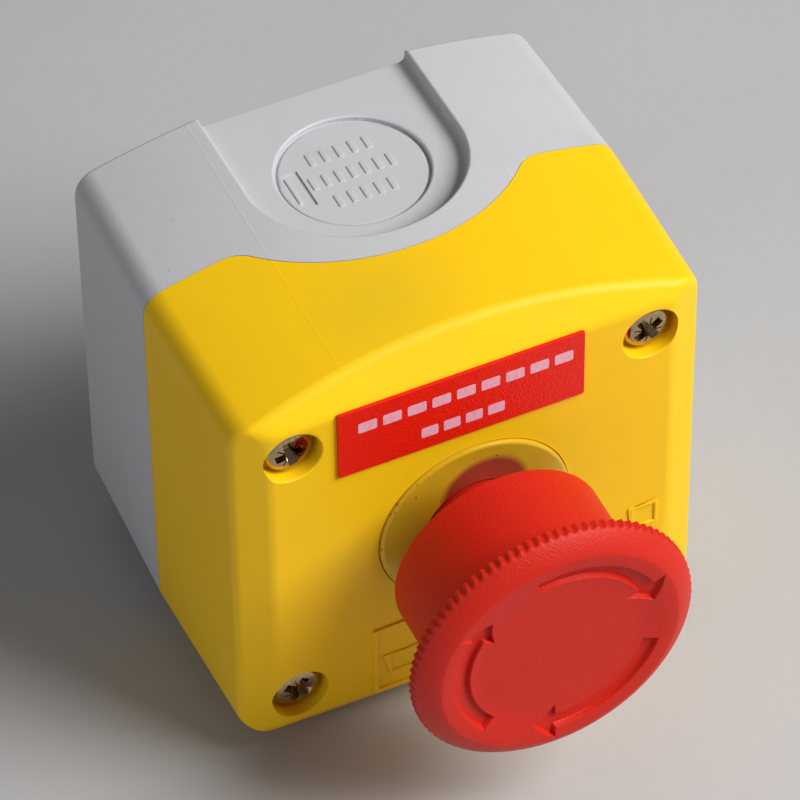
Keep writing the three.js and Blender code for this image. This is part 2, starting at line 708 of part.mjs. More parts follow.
function housing(side) {
  const outerFace = BLOCK_OUTER - 1.05;
  const blank = blockBox(
    side, BLOCK_INNER, outerFace, -BLOCK_HALF_HEIGHT, BLOCK_HALF_HEIGHT, BLOCK_REAR, BLOCK_FRONT);
  const inner = BLOCK_HALF_HEIGHT - BLOCK_WALL;
  const cavity = blockBox(
    side, BLOCK_INNER + BLOCK_WALL, BLOCK_OUTER, -inner, inner,
    BLOCK_REAR + BLOCK_WALL, BLOCK_FRONT - BLOCK_WALL);
  const plungerHole = blockBox(side, PLUNGER_X - 2.6, PLUNGER_X + 2.6, -1.9, 1.9, 18, 30);
  const ribs = [1, -1].map((y) => blockBox(
    side, BLOCK_INNER + 1, outerFace, y * 11 - 0.4, y * 11 + 0.4, BLOCK_REAR + 1, TERMINAL_Z - 0.1));
  const hooks = [1, -1].map((y) => blockBox(
    side, PLUNGER_X - 1.8, PLUNGER_X + 1.8, y * HOOK_Y - 0.6, y * HOOK_Y + 0.6, BLOCK_FRONT - 0.5, 23));
  const screwPorts = [1, -1].map((y) => cylinder(
    2.9, 0, BLOCK_REAR + BLOCK_WALL + 0.1, TINY_ROUND, side * PLUNGER_X, y * TERMINAL_Y));
  const wirePorts = [1, -1].map((y) => blockBox(
    side, PLUNGER_X - 2, PLUNGER_X + 2, y * 18 - 2, y * 18 + 2, 6.8, 9.8));
  return cut(join(cut(blank, cavity, plungerHole), ...ribs, ...hooks), ...screwPorts, ...wirePorts);
}

function sideCover(side) {
  return blockBox(
    side, BLOCK_OUTER - 1, BLOCK_OUTER, -BLOCK_HALF_HEIGHT, BLOCK_HALF_HEIGHT, BLOCK_REAR, BLOCK_FRONT);
}

// Plunger with a slot across it that carries the moving bridge.
function plunger(side, slotRear, slotFront) {
  const rod = blockBox(side, PLUNGER_X - 2.5, PLUNGER_X + 2.5, -1.8, 1.8, PLUNGER_REAR, 18.9);
  const tip = blockBox(side, PLUNGER_X - 2.5, PLUNGER_X + 2.5, -1.8, 1.8, 18.4, PLUNGER_TIP);
  const slot = blockBox(side, PLUNGER_X - 1.4, PLUNGER_X + 1.4, -3, 3, slotRear, slotFront);
  return join(rod, tip).subtract(slot);
}

// Bridge across both fixed contacts; facing is 1 where its rivets look forward.
function bridge(side, z, facing) {
  const bar = blockBox(side, PLUNGER_X - 1.25, PLUNGER_X + 1.25, -7.4, 7.4, z, z + PLATE);
  const rivets = [1, -1].map((y) => {
    const base = facing > 0 ? z + PLATE - 0.2 : z - 0.4;
    return cylinder(1, base, base + 0.6, TINY_ROUND, side * PLUNGER_X, y * 6.2);
  });
  return join(bar, ...rivets);
}

// Fixed contact and terminal in one strip: contact end, riser, terminal end.
function terminal(side, end, contactZ, facing) {
  const strip = (y0, y1, z0, z1) => {
    const ys = [end * y0, end * y1].sort((a, b) => a - b);
    return blockBox(side, PLUNGER_X - 2, PLUNGER_X + 2, ys[0], ys[1], z0, z1);
  };
  const base = facing > 0 ? contactZ + PLATE - 0.2 : contactZ - 0.4;
  const top = Math.max(contactZ, TERMINAL_Z) + PLATE;
  return cut(
    join(
      strip(4.9, 9.4, contactZ, contactZ + PLATE),
      strip(8.6, 9.4, TERMINAL_Z, top),
      strip(8.6, 17.3, TERMINAL_Z, TERMINAL_Z + PLATE),
      cylinder(1, base, base + 0.6, TINY_ROUND, side * PLUNGER_X, end * 6.2)),
    cylinder(1.55, 0, 20, TINY_ROUND, side * PLUNGER_X, end * TERMINAL_Y));
}

function terminalScrew(side, end) {
  const x = side * PLUNGER_X;
  const y = end * TERMINAL_Y;
  const blank = turned([
    [0, 5.2], [2.6, 5.2], [2.6, 7.2], [1.4, 7.2], [1.4, 12.8], [0, 12.8],
  ], TINY_ROUND, x, y);
  return blank.subtract(box(x - 3, x + 3, y - 0.35, y + 0.35, 4, 6));
}

function clamp(side, end) {
  const x = side * PLUNGER_X;
  const y = end * TERMINAL_Y;
  return box(x - 2.4, x + 2.4, y - 2.4, y + 2.4, 7.3, 8.1)
    .subtract(cylinder(1.55, 0, 20, TINY_ROUND, x, y));
}

publish('contact_carrier', contactCarrier(), BLACK);
publish('carrier_screw_left', carrierScrew(-1), ZINC);
publish('carrier_screw_right', carrierScrew(1), ZINC);

// The closed block opens when the button is pushed, the open block closes.
const NC_BRIDGE_Z = NC_CONTACT_Z - 0.4 - 0.05 - 0.4 - PLATE;
const NO_BRIDGE_Z = 16.2;
const BLOCKS = [
  {
    prefix: 'nc', side: -1, contactZ: NC_CONTACT_Z, contactFacing: -1, bridgeZ: NC_BRIDGE_Z, bridgeFacing: 1,
    slotRear: NC_BRIDGE_Z - 0.1, slotFront: NC_BRIDGE_Z + PLATE + 0.1, plungerColour: RED,
  },
  {
    prefix: 'no', side: 1, contactZ: NO_CONTACT_Z, contactFacing: 1, bridgeZ: NO_BRIDGE_Z, bridgeFacing: -1,
    slotRear: NO_BRIDGE_Z - 0.1, slotFront: NO_BRIDGE_Z + PLATE + 1.9, plungerColour: GREEN,
  },
];

for (const block of BLOCKS) {
  const { prefix, side } = block;
  publish(`${prefix}_housing`, housing(side), BLACK);
  publish(`${prefix}_side_cover`, sideCover(side), BLACK);
  publish(`${prefix}_plunger`, plunger(side, block.slotRear, block.slotFront), block.plungerColour);
  publish(`${prefix}_bridge`, bridge(side, block.bridgeZ, block.bridgeFacing), BRASS);
  publish(`${prefix}_spring`,
    coil(1.9, 0.22, BLOCK_REAR + BLOCK_WALL + 0.05, PLUNGER_REAR - 0.05, 4, side * PLUNGER_X), SPRING_STEEL);
  for (const [place, end] of [['top', 1], ['bottom', -1]]) {
    publish(`${prefix}_terminal_${place}`, terminal(side, end, block.contactZ, block.contactFacing), BRASS);
    publish(`${prefix}_terminal_screw_${place}`, terminalScrew(side, end), ZINC);
    publish(`${prefix}_clamp_${place}`, clamp(side, end), ZINC);
  }
}

export default assembly;
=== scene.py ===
"""Looks of the emergency stop button: a grey and yellow box with a red mushroom head.

Shapes are written in the facing frame, in millimetres: x to the right and y up as
the user sees the box, z out of the wall, with z = 0 on the rear mounting face.
to_part() turns them into the part's frame, in metres.
"""

import json
import math

import bmesh
import bpy
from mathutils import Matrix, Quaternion, Vector

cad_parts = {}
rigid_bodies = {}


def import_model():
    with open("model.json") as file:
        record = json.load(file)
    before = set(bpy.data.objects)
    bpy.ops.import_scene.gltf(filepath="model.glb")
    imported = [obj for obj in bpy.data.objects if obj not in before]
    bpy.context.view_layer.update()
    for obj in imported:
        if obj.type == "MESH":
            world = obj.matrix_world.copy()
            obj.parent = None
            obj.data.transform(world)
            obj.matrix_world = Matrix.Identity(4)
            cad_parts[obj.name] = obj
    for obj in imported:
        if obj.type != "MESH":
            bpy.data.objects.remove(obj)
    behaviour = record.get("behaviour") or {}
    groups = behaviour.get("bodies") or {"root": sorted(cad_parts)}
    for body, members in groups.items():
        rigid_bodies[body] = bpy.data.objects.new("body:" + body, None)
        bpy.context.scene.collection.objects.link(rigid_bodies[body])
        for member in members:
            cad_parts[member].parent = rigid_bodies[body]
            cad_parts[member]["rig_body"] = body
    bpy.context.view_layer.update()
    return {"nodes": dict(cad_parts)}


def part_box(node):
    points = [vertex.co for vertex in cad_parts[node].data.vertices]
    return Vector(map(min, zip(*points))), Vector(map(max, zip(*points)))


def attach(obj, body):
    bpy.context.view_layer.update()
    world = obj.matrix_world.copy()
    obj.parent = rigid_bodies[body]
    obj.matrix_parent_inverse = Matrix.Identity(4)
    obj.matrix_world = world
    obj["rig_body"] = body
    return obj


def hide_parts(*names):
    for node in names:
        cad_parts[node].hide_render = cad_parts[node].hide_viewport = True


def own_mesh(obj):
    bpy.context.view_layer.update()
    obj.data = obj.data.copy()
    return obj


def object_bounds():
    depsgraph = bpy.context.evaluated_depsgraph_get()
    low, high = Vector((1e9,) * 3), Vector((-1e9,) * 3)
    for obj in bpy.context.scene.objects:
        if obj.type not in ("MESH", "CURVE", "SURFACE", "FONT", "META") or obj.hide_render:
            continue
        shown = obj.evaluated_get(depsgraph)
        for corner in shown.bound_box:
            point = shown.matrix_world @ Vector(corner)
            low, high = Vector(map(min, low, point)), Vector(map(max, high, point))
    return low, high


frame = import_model()

# ------------------------------------------------------------------ driving sizes

MM = 0.001


def facing_box(node):
    """Lowest and highest corner of a CAD node, in the facing frame."""
    low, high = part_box(node)
    return (
        Vector((low.x, low.z, -high.y)) / MM,
        Vector((high.x, high.z, -low.y)) / MM,
    )


BEZEL_LOW, BEZEL_HIGH = facing_box("bezel_ring")
STEM_LOW, _ = facing_box("plunger_stem")
LEGEND_LOW, LEGEND_HIGH = facing_box("legend_plate")

# Walls of the box, whose sections shrink towards the rear and the front.
HALF_WIDTH = 34.0
HALF_HEIGHT = 34.4
CROWN_RISE = 4.9
EDGE_RADIUS = 4.0
BOX_DEPTH = 53.4
REAR_SHARE = 0.976
FRONT_SHARE = 0.983
REAR_EDGE_RADIUS = 0.7
WALL = 2.6
CORNER_STEPS = 12
CROWN_STEPS = 30
COARSE_STEPS = (4, 10)

# Sloping bands and edges of the front face.
BAND_START = 28.2
BAND_SLOPE = 1.47
SIDE_BAND_START = 28.7
SIDE_BAND_DEPTH = 2.6
EDGE_SOFTNESS = 0.8
CREASE_SOFTNESS = 0.3
SEAM_SOFTNESS = 0.22

# Parting surface between the two housings, and the faint mould line beside the pocket.
PARTING = 25.2
PARTING_APEX = 35.3
PARTING_ARC = 26.0
PARTING_FILLET = 5.0
PARTING_GAP = 0.1
WITNESS_X = 17.4
WITNESS_HEIGHT = 0.02
WITNESS_WIDTH = 0.12

# Space inside the box, below the entry pockets and behind the front wall.
CAVITY_CEILING = 28.2
CAVITY_CEILING_REACH = 18.2
CAVITY_TAPER_START = 47.4
CAVITY_END = 50.4
CAVITY_END_INSET = 5.0

# Cable entries: U-shaped pocket, knockout and the groove round it.
ENTRY_DEPTH = 16.4
ENTRY_LEAN = math.radians(1.9)
POCKET_RADIUS = 15.1
POCKET_FLOOR = 30.4
POCKET_LIP = 0.6
POCKET_FOOT = 1.0
KNOCKOUT_RADIUS = 10.4
KNOCKOUT_FACE = 29.9
GROOVE_WIDTH = 0.7
GROOVE_DEPTH = 0.3

# Marks on a knockout: slot and key as left, right, rear and front; rows as half length and depth.
PRY_SLOT = (-8.9, -6.55, 12.8, 19.9)
PRY_SLOT_DEPTH = 0.28
PRY_KEY = (-8.75, -8.2, 13.6, 18.7)
PRY_KEY_HEIGHT = 0.05
STROKE_ROWS = ((5.1, 11.8), (6.5, 16.2), (4.8, 20.5))
STROKE_PITCH = 1.9
STROKE_HALF_WIDTH = 0.42
STROKE_HALF_LENGTH = 1.2
STROKE_HEIGHT = 0.2

# Screws, holes and posts of the housings.
SCREW_X = 25.45
SCREW_Y = 23.2
SCREW_SEAT = 50.3
SCREW_HEAD = 3.3
COUNTERBORE_RADIUS = 4.05
BOSS_RADIUS = 5.2
SCREW_HOLE_RADIUS = 2.25
POST_RADIUS = 3.8
PILOT_RADIUS = 2.05
PILOT_FLOOR = 11.0
DEVICE_HOLE_RADIUS = 11.15
BEZEL_RECESS_DEPTH = 1.55
BEZEL_PLAY = 0.12
FIXING_X = 19.0
FIXING_Y = 27.0
FIXING_RADIUS = 2.15
FIXING_CHAMFER = 0.45

# Raised frames on the front face: left, right, bottom, top, rib width and rib height.
RIB_FRAMES = (
    (-14.85, 14.85, -28.1, -15.6, 0.65, 0.36),
    (-12.6, -5.0, -25.2, -21.2, 0.5, 0.24),
    (23.0, 27.1, -13.7, -9.3, 0.55, 0.24),
)

# Mushroom head and stem.
STEM_RADIUS = 7.0
STEM_BORE = 6.0
SLEEVE_RADIUS = 14.95
SLEEVE_REAR = 60.5
SLEEVE_WALL = 1.65
SLEEVE_EDGE = 0.4
RIM_RADIUS = 20.1
KNURL_REAR = 75.7
KNURL_TEETH = 90
COLUMNS_PER_TOOTH = 8
KNURL_CROWN = RIM_RADIUS - 0.1
KNURL_DEPTH = 0.3
KNURL_LENGTH = 1.2
FACE = 78.7
CREST = 79.3
CREST_RADIUS = 16.9
LIP_FLATNESS = 1.55
LIP_STEPS = 18
DISH_WIDTH = 6.2
DISH_RINGS = 52
DISH_RING_STEP = 0.12
FLAT_RADIUS = 9.0
ARROW_RADIUS = 13.8
ARROW_WIDTH = 2.0
ARROW_TIP = 14.5
ARROW_HEAD = 13.0
ARROW_BARB = 2.75
ARROW_SPAN = 88.0
ARROW_DEPTH = 0.73
ARROW_EDGE = 0.14

# Printed dashes on the legend plate: left end, right end, count, bottom and top of each row.
DASH_ROWS = ((-17.0, 14.3, 9, 24.2, 26.0), (-8.1, 4.5, 4, 19.2, 21.0))
DASH_MARGIN = 0.12

# Turn of each cover screw's cross recess, in degrees.
SCREW_TURNS = {
    "cover_screw_top_left": 12.0,
    "cover_screw_top_right": 34.0,
    "cover_screw_bottom_left": 58.0,
    "cover_screw_bottom_right": 76.0,
}

# Centres of two marks in the surfaces: dirt on the cover's top, and a painted reflection of the red stem on
# the ring.
COVER_SMUDGE = (-7.0, 34.5, 42.0)
RING_PAINTED_REFLECTION = (1.2, 5.0, 54.0)

# Edges that turn by less than this are shaded smooth, in degrees.
SMOOTH_ANGLE = 32.0

# ----------------------------------------------------------------- mesh building


def to_part(point):
    """A point of the facing frame, in the part's frame and in metres."""
    x, y, z = point
    return Vector((x, -z, y)) * MM


def new_piece(name, points, faces):
    """Object with a mesh through points of the facing frame."""
    mesh = bpy.data.meshes.new(name)
    mesh.from_pydata([to_part(point) for point in points], [], faces)
    edit = bmesh.new()
    edit.from_mesh(mesh)
    bmesh.ops.remove_doubles(edit, verts=edit.verts, dist=1e-8)
    bmesh.ops.recalc_face_normals(edit, faces=edit.faces)
    edit.to_mesh(mesh)
    edit.free()
    piece = bpy.data.objects.new(name, mesh)
    bpy.context.collection.objects.link(piece)
    return piece


def loft(name, rings, closed=False):
    """Closed solid through rings of equal length, capped at both ends or joined end to end."""
    size = len(rings[0])
    points = [point for ring in rings for point in ring]
    faces = []
    spans = len(rings) if closed else len(rings) - 1
    for row in range(spans):
        here = row * size
        there = ((row + 1) % len(rings)) * size
        for i in range(size):
            j = (i + 1) % size
            faces.append((here + i, here + j, there + j, there + i))
    if not closed:
        faces.append(tuple(range(size)))
        faces.append(tuple(range((len(rings) - 1) * size, len(rings) * size)))
    return new_piece(name, points, faces)


def prism(name, outline, z0, z1):
    return loft(name, [[(x, y, z) for x, y in outline] for z in (z0, z1)])


def block(name, low, high):
    outline = [(low[0], low[1]), (high[0], low[1]), (high[0], high[1]), (low[0], high[1])]
    return prism(name, outline, low[2], high[2])


def circle(radius, sides, x=0.0, y=0.0):
    turns = [2 * math.pi * i / sides for i in range(sides)]
    return [(x + radius * math.cos(a), y + radius * math.sin(a)) for a in turns]


def turned(name, profile, sides, x=0.0, y=0.0, closed=False):
    """Solid of revolution through [radius, z] points; closed joins the last to the first."""
    rings = [[(px, py, z) for px, py in circle(radius, sides, x, y)] for radius, z in profile]
    return loft(name, rings, closed)


def arc(cx, cy, radius, start, end, steps):
    turns = [start + (end - start) * i / steps for i in range(steps + 1)]
    return [(cx + radius * math.cos(a), cy + radius * math.sin(a)) for a in turns]


def combine(piece, tool, operation="DIFFERENCE"):
    """Applies a boolean with another piece, which is used up."""
    modifier = piece.modifiers.new("combine", "BOOLEAN")
    modifier.operation = operation
    modifier.solver = "MANIFOLD"
    modifier.object = tool
    graph = bpy.context.evaluated_depsgraph_get()
    result = bpy.data.meshes.new_from_object(piece.evaluated_get(graph))
    piece.modifiers.clear()
    piece.data = result
    bpy.data.objects.remove(tool)
    return piece


def soften_edges(piece, chosen, width, segments=2):
    """Rounds the edges for which chosen(edge) is true."""
    edit = bmesh.new()
    edit.from_mesh(piece.data)
    edges = [edge for edge in edit.edges if len(edge.link_faces) == 2 and chosen(edge)]
    bmesh.ops.bevel(
        edit, geom=edges, offset=width * MM, segments=segments, profile=0.5,
        affect="EDGES", clamp_overlap=True,
    )
    edit.to_mesh(piece.data)
    edit.free()


def shade(piece):
    """Smooth shading below the smooth angle, with flat faces kept flat."""
    mesh = piece.data
    mesh.polygons.foreach_set("use_smooth", [True] * len(mesh.polygons))
    mesh.set_sharp_from_angle(angle=math.radians(SMOOTH_ANGLE))
    weighted = piece.modifiers.new("weighted_normals", "WEIGHTED_NORMAL")
    weighted.keep_sharp = True


# ---------------------------------------------------------------------- the box


def mirror_x(points):
    return [(-x, y) for x, y in reversed(points)]


def crown_geometry():
    """Radius of the crowned walls and height of their centre."""
    radius = (HALF_WIDTH**2 + CROWN_RISE**2) / (2 * CROWN_RISE)
    return radius, HALF_HEIGHT - radius


def box_outline(inset, corner_steps=CORNER_STEPS, crown_steps=CROWN_STEPS):
    """Flat sides, crowned top and bottom and round edges, counter-clockwise from the right."""
    crown_radius, crown_centre = crown_geometry()
    edge = max(EDGE_RADIUS - inset, 1.0)
    edge_x = HALF_WIDTH - inset - edge
    reach = crown_radius - inset - edge
    edge_y = crown_centre + math.sqrt(reach**2 - edge_x**2)
    turn = math.atan2(edge_y - crown_centre, edge_x)
    corner = arc(edge_x, edge_y, edge, 0.0, turn, corner_steps)
    radius = crown_radius - inset
    reach_x = radius * math.cos(turn)
    stops = [reach_x * (1 - i / crown_steps) for i in range(1, crown_steps + 1)]
    stops += [WITNESS_X + 0.09 * i for i in range(-3, 4)]
    stops = sorted(stops, reverse=True)
    crown = []
    for x in stops:
        ridge = WITNESS_HEIGHT * math.exp(-((x - WITNESS_X) / WITNESS_WIDTH) ** 2)
        crown.append((x, crown_centre + math.sqrt(radius**2 - x**2) + ridge))
    quarter = corner + crown
    top = quarter + mirror_x(quarter)[1:]
    return top + [(-x, -y) for x, y in top]


def share(z):
    """Scale of the section at a depth: the walls lean in to the rear and front of the parting line."""
    if z < PARTING:
        return REAR_SHARE + (1.0 - REAR_SHARE) * z / PARTING
    return 1.0 - (1.0 - FRONT_SHARE) * (z - PARTING) / (BOX_DEPTH - PARTING)


def crown_height(x, z):
    """Height of the crowned wall above the axis at a given x and depth."""
    radius, centre = crown_geometry()
    return share(z) * (centre + math.sqrt(radius**2 - (x / share(z)) ** 2))


def section(inset, z, *steps):
    """Outer cross-section of the box at a depth, moved in by an inset."""
    return [(x * share(z), y * share(z), z) for x, y in box_outline(inset, *steps)]


def rounded(a, b, radius):
    """Distance outside two surfaces that meet in an edge of the given radius."""
    if a > -radius and b > -radius:
        return math.hypot(a + radius, b + radius) - radius
    return max(a, b)


def outside_front(x, y, z, inset):
    """How far a point lies outside the cover's front: face, bands and softened edges."""
    side_slope = (HALF_WIDTH - SIDE_BAND_START) / SIDE_BAND_DEPTH
    behind = BOX_DEPTH - z
    band = (abs(y) - BAND_START - behind * BAND_SLOPE) / math.hypot(1.0, BAND_SLOPE)
    side = (abs(x) - SIDE_BAND_START - behind * side_slope) / math.hypot(1.0, side_slope)
    slopes = rounded(band, side, 2 * CREASE_SOFTNESS)
    return rounded(-inset, rounded(slopes, -behind, CREASE_SOFTNESS), EDGE_SOFTNESS)


def front_height(x, y, inset):
    """Depth at which a line of the outline meets the cover's front surface."""
    low, high = 40.0, BOX_DEPTH
    for _ in range(26):
        middle = (low + high) / 2
        if outside_front(x * share(middle), y * share(middle), middle, inset) > 0:
            high = middle
        else:
            low = middle
    return low


def beyond_parting(offset):
    """The space in front of the parting surface, which is an arc across top and bottom."""
    line = PARTING + offset
    centre = PARTING_APEX - PARTING_ARC
    radius = PARTING_ARC + offset
    fillet = PARTING_FILLET - offset
    fillet_z = line + fillet
    fillet_x = math.sqrt((radius + fillet) ** 2 - (fillet_z - centre) ** 2)
    lean = math.atan2(fillet_z - centre, fillet_x)
    half = arc(0.0, centre, radius, math.pi / 2, lean, 48)
    half += arc(fillet_x, fillet_z, fillet, lean + math.pi, 1.5 * math.pi, 12)[1:]
    half += [(50.0, line), (50.0, 70.0)]
    outline = mirror_x(half) + half[1:]
    return loft("beyond_parting", [[(x, y, z) for x, z in outline] for y in (-50.0, 50.0)])


def corners():
    """Places of the four cover screws."""
    return [(x, y) for x in (-SCREW_X, SCREW_X) for y in (-SCREW_Y, SCREW_Y)]


def bore(name, radius, floor, top, sides, x=0.0, y=0.0):
    """Cutter for a plain round hole."""
    return turned(name, [(radius, floor), (radius, top)], sides, x, y)


def flared_bore(name, radius, floor, lip, x, y):
    """Cutter for a hole in the front face whose mouth is rounded by the lip radius."""
    top = BOX_DEPTH + 0.02
    profile = [(radius, floor)]
    for i in range(7):
        turn = math.pi / 2 * i / 6
        profile.append((radius + lip - lip * math.cos(turn), top - lip + lip * math.sin(turn)))
    profile.append((radius + lip, top + 3.0))
    return turned(name, profile, 64, x, y)


def rib_frame(x0, x1, y0, y1, width, height):
    """Low rectangular rib on the front face."""
    outer = block("rib", (x0, y0, BOX_DEPTH - 0.4), (x1, y1, BOX_DEPTH + height))
    inner_low = (x0 + width, y0 + width, BOX_DEPTH - 1.0)
    inner_high = (x1 - width, y1 - width, BOX_DEPTH + 1.0)
    combine(outer, block("rib_inner", inner_low, inner_high))
    soften_edges(outer, lambda edge: all(v.co.y < -BOX_DEPTH * MM - 1e-6 for v in edge.verts), 0.16)
    return outer


def is_seam(edge):
    """True on the outer edge of the cover or the box along the parting surface."""
    on_wall = [abs(face.normal.y) < 0.05 for face in edge.link_faces]
    if sum(on_wall) != 1:
        return False
    for vertex in edge.verts:
        x, y, z = vertex.co.x / MM, vertex.co.z / MM, -vertex.co.y / MM
        outer = abs(x) > HALF_WIDTH - 0.3 or abs(y) > crown_height(min(abs(x), 33.0), z) - 1.2
        if not outer or not PARTING - 0.3 < z < PARTING_APEX + 0.5:
            return False
    return True


def make_cover():
    """Yellow cover: shell, cavity, screw bosses and counterbores, device hole, ribs and seam."""
    insets = [0.004, 0.03, 0.09, 0.18, 0.3, 0.45, 0.65, 0.9]
    insets += [1.15 + 0.22 * i for i in range(24)]
    rings = [section(0.0, 20.0), section(0.0, PARTING), section(0.0, 44.0)]
    for inset in insets:
        ring = []
        for x, y in box_outline(inset):
            z = front_height(x, y, inset)
            ring.append((x * share(z), y * share(z), z))
        rings.append(ring)
    cover = loft("front_cover_shell", rings)
    cavity = ((WALL, 10.0), (WALL, CAVITY_TAPER_START), (CAVITY_END_INSET, CAVITY_END))
    combine(cover, loft("cavity", [section(inset, z, *COARSE_STEPS) for inset, z in cavity]))
    boss = [(BOSS_RADIUS, PARTING + 0.7), (BOSS_RADIUS, BOX_DEPTH - 2.4)]
    for x, y in corners():
        combine(cover, turned("boss", boss, 32, x, y), "UNION")
    for x, y in corners():
        combine(cover, flared_bore("counterbore", COUNTERBORE_RADIUS, SCREW_SEAT, 0.3, x, y))
        combine(cover, bore("screw_hole", SCREW_HOLE_RADIUS, 15.0, 60.0, 32, x, y))
    combine(cover, bore("device_hole", DEVICE_HOLE_RADIUS, 40.0, 60.0, 96))
    recess_floor = BOX_DEPTH - BEZEL_RECESS_DEPTH
    combine(cover, flared_bore("bezel_recess", BEZEL_HIGH.x + BEZEL_PLAY, recess_floor, 0.1, 0.0, 0.0))
    for sizes in RIB_FRAMES:
        combine(cover, rib_frame(*sizes), "UNION")
    combine(cover, beyond_parting(PARTING_GAP), "INTERSECT")
    soften_edges(cover, is_seam, SEAM_SOFTNESS)
    return cover


def pocket_outline(offset):
    """U-shaped outline of the entry pocket, as [x, z] points, moved out by an offset."""
    radius = POCKET_RADIUS + offset
    half = arc(0.0, ENTRY_DEPTH, radius, 0.0, math.pi, 64)
    return [(radius, -2.0)] + half + [(-radius, -2.0)]


def leaned(x, height, z, sign):
    """A point of the cable entry, turned so that its pocket floor lies along the drafted wall."""
    up = height * math.cos(ENTRY_LEAN) + z * math.sin(ENTRY_LEAN)
    along = z * math.cos(ENTRY_LEAN) + (POCKET_FLOOR - height) * math.sin(ENTRY_LEAN)
    return (x, sign * up, along)


def entry_pocket(sign):
    """Cutter for the U-shaped pocket: a hollowed foot, an upright wall and a rounded lip."""
    rings = []
    for i in range(6):
        turn = math.pi / 2 * i / 5
        height = POCKET_FLOOR + POCKET_FOOT * (1 - math.cos(turn))
        offset = POCKET_FOOT * (math.sin(turn) - 1)
        rings.append([leaned(x, height, z, sign) for x, z in pocket_outline(offset)])
    for i in range(7):
        turn = math.pi / 2 * i / 6
        offset = POCKET_LIP * (1 - math.cos(turn))
        drop = POCKET_LIP * (1 - math.sin(turn)) - 0.02
        rings.append([(x, sign * (crown_height(x, z) - drop), z) for x, z in pocket_outline(offset)])
    rings.append([(x, sign * (HALF_HEIGHT + 3.0), z) for x, z in pocket_outline(POCKET_LIP)])
    return loft("entry_pocket", rings)


def entry_disc(name, profile, sign):
    """Solid of revolution about the cable entry's axis, through [radius, height] points."""
    rings = []
    for radius, height in profile:
        rings.append([leaned(x, height, ENTRY_DEPTH + z, sign) for x, z in circle(radius, 96)])
    return loft(name, rings)


def entry_block(x0, x1, z0, z1, low, high, sign):
    """Block on the cable entry, between two heights."""
    outline = [(x0, z0), (x1, z0), (x1, z1), (x0, z1)]
    return loft("entry_block", [[leaned(x, height, z, sign) for x, z in outline] for height in (low, high)])


def entry_row(half_length, z, sign):
    """Row of fine raised strokes on the knockout, in place of moulded lettering."""
    count = round(2 * half_length / STROKE_PITCH)
    step = 2 * half_length / count
    row = None
    for i in range(count):
        x = -half_length + step * (i + 0.5)
        stroke = entry_block(
            x - STROKE_HALF_WIDTH, x + STROKE_HALF_WIDTH, z - STROKE_HALF_LENGTH, z + STROKE_HALF_LENGTH,
            KNOCKOUT_FACE - 0.3, KNOCKOUT_FACE + STROKE_HEIGHT, sign)
        soften_edges(stroke, lambda edge: True, 0.16)
        row = stroke if row is None else combine(row, stroke, "UNION")
    return row


def make_entry(enclosure, sign):
    """Cuts one cable entry into the wall: pocket, knockout, its groove and its marks."""
    combine(enclosure, entry_pocket(sign))
    mouth = KNOCKOUT_RADIUS + 0.45
    recess = [(KNOCKOUT_RADIUS, KNOCKOUT_FACE), (KNOCKOUT_RADIUS, POCKET_FLOOR - 0.2),
              (KNOCKOUT_RADIUS + 0.15, POCKET_FLOOR - 0.06), (mouth, POCKET_FLOOR + 0.03), (mouth, 40.0)]
    combine(enclosure, entry_disc("recess", recess, sign))
    groove_profile = [(KNOCKOUT_RADIUS, KNOCKOUT_FACE - GROOVE_DEPTH), (KNOCKOUT_RADIUS, KNOCKOUT_FACE + 0.3)]
    groove = entry_disc("groove", groove_profile, sign)
    shoulder = KNOCKOUT_RADIUS - GROOVE_WIDTH
    core = [(shoulder + 0.3, KNOCKOUT_FACE - 1.5), (shoulder + 0.3, KNOCKOUT_FACE - 0.25),
            (shoulder + 0.22, KNOCKOUT_FACE - 0.08), (shoulder, KNOCKOUT_FACE), (shoulder, 32.0)]
    combine(groove, entry_disc("core", core, sign))
    combine(enclosure, groove)
    combine(enclosure, entry_block(*PRY_SLOT, KNOCKOUT_FACE - PRY_SLOT_DEPTH, KNOCKOUT_FACE + 1.0, sign))
    key = entry_block(*PRY_KEY, KNOCKOUT_FACE - 0.5, KNOCKOUT_FACE + PRY_KEY_HEIGHT, sign)
    soften_edges(key, lambda edge: True, 0.14)
    combine(enclosure, key, "UNION")
    for half_length, z in STROKE_ROWS:
        combine(enclosure, entry_row(half_length, z, sign), "UNION")


def make_enclosure():
    """Grey rear box: shell, cavity, cable entries, screw posts, fixing holes and seam."""
    rings = []
    for i in range(6):
        turn = math.pi / 2 * i / 5
        inset = REAR_EDGE_RADIUS * (1 - math.sin(turn))
        rings.append(section(inset, REAR_EDGE_RADIUS * (1 - math.cos(turn))))
    rings += [section(0.0, PARTING), section(0.0, 37.0)]
    enclosure = loft("rear_enclosure_shell", rings)
    cavity = []
    for x, y, _ in section(WALL, WALL, *COARSE_STEPS):
        if abs(x) < CAVITY_CEILING_REACH:
            y = math.copysign(min(abs(y), CAVITY_CEILING), y)
        cavity.append((x, y))
    combine(enclosure, prism("cavity", cavity, WALL, 40.0))
    for sign in (1, -1):
        make_entry(enclosure, sign)
    post = [(POST_RADIUS, 2.0), (POST_RADIUS, PARTING - 0.2)]
    for x, y in corners():
        combine(enclosure, turned("post", post, 32, x, y), "UNION")
        combine(enclosure, bore("pilot", PILOT_RADIUS, PILOT_FLOOR, 40.0, 24, x, y))
    mouth = FIXING_RADIUS + FIXING_CHAMFER
    hole = [(mouth, -1.0), (mouth, 0.0), (FIXING_RADIUS, FIXING_CHAMFER), (FIXING_RADIUS, 10.0)]
    for side in (-1, 1):
        combine(enclosure, turned("fixing", hole, 48, side * FIXING_X, side * FIXING_Y))
    combine(enclosure, beyond_parting(0.0))
    soften_edges(enclosure, is_seam, SEAM_SOFTNESS)
    return enclosure


